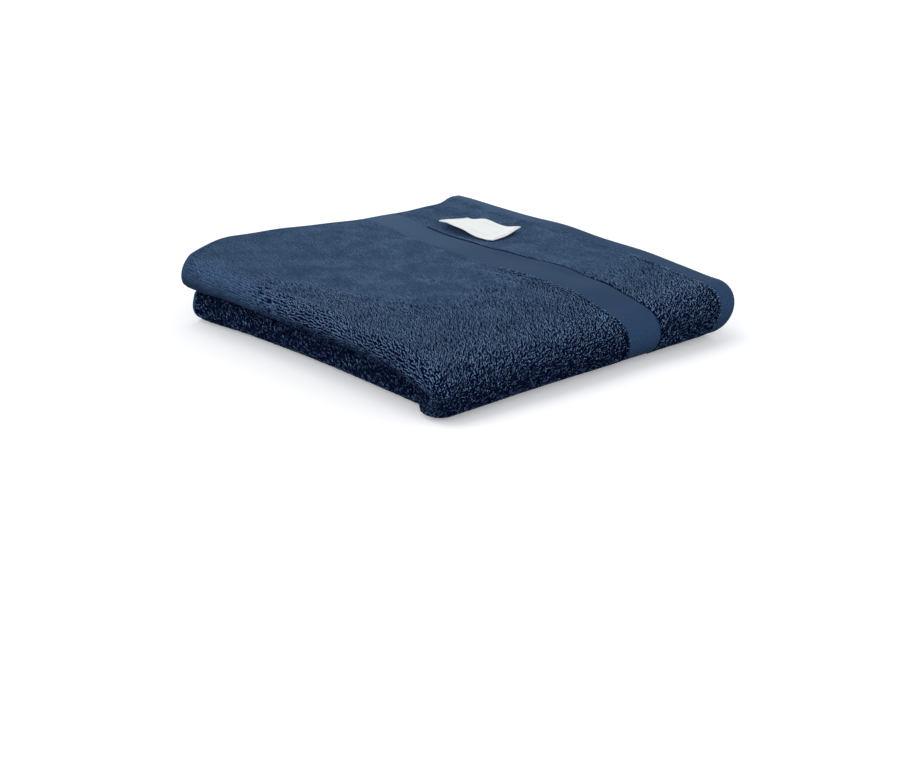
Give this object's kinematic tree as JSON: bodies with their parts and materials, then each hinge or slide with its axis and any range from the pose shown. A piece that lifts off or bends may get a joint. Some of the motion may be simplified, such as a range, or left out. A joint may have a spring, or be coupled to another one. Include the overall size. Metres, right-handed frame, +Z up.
{
  "type": "folded terry hand towel",
  "caption": "Cotton terry hand towel folded into a soft rectangular pad, with hemmed ends, flat woven bands and a blank sewn label near one hem.",
  "frame": {"origin": "centre of the underside of the folded towel, on the surface it lies on", "axes": "+Z up through the layers, +X towards the hem end with the label, -Y towards the long bend, +Y towards the open selvedges, -X towards the two front rolls"},
  "size_m": [0.2306, 0.2484, 0.0427],
  "materials": {
    "terry": "dense navy cotton loops, matt with a faint soft sheen; flat woven hem and band",
    "label_tape": "smooth off-white woven tape with a soft satin face"
  },
  "bodies": {
    "root": {"towel": "terry", "label": "label_tape"}
  },
  "joints": []
}
